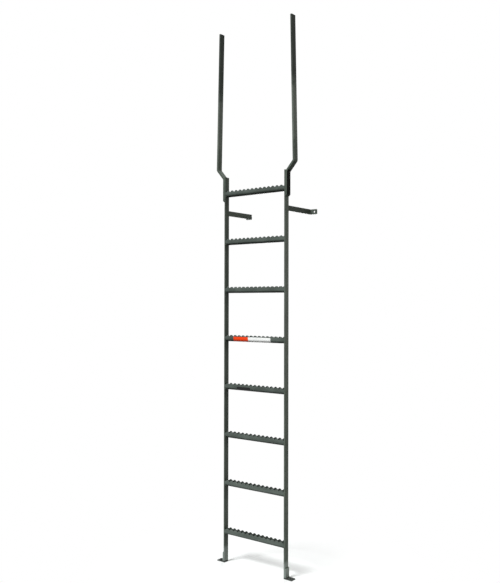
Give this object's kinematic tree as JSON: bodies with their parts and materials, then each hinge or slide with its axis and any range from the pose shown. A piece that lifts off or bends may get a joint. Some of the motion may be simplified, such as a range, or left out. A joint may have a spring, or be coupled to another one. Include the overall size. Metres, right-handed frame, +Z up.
{
  "type": "fixed vertical ladder",
  "caption": "Fixed steel wall ladder with flat bar stiles, serrated channel rungs, wall stand-off brackets, angle feet and welded walk-through handrails that flare out.",
  "frame": {"origin": "on the floor, midway between the two floor anchor holes and midway through the stiles' depth", "axes": "+Z up the ladder, +Y from the climber towards the wall, +X to the climber's right"},
  "size_m": [0.6042, 0.2866, 3.3656],
  "materials": {
    "bar_paint": "satin dark grey-green paint",
    "rung_paint": "satin dark grey-green paint",
    "weld_paint": "satin paint over weld beads"
  },
  "bodies": {
    "root": {"left_stile": "bar_paint", "left_handrail": "bar_paint", "left_wall_bracket": "bar_paint", "left_floor_foot": "bar_paint", "right_stile": "bar_paint", "right_handrail": "bar_paint", "right_wall_bracket": "bar_paint", "right_floor_foot": "bar_paint", "rung_1": "rung_paint", "rung_2": "rung_paint", "rung_3": "rung_paint", "rung_4": "rung_paint", "rung_5": "rung_paint", "rung_6": "rung_paint", "rung_7": "rung_paint", "rung_8": "rung_paint", "left_rung_welds": "weld_paint", "left_floor_foot_weld": "weld_paint", "left_handrail_welds": "weld_paint", "left_wall_bracket_welds": "weld_paint", "right_rung_welds": "weld_paint", "right_floor_foot_weld": "weld_paint", "right_handrail_welds": "weld_paint", "right_wall_bracket_welds": "weld_paint"}
  },
  "joints": []
}
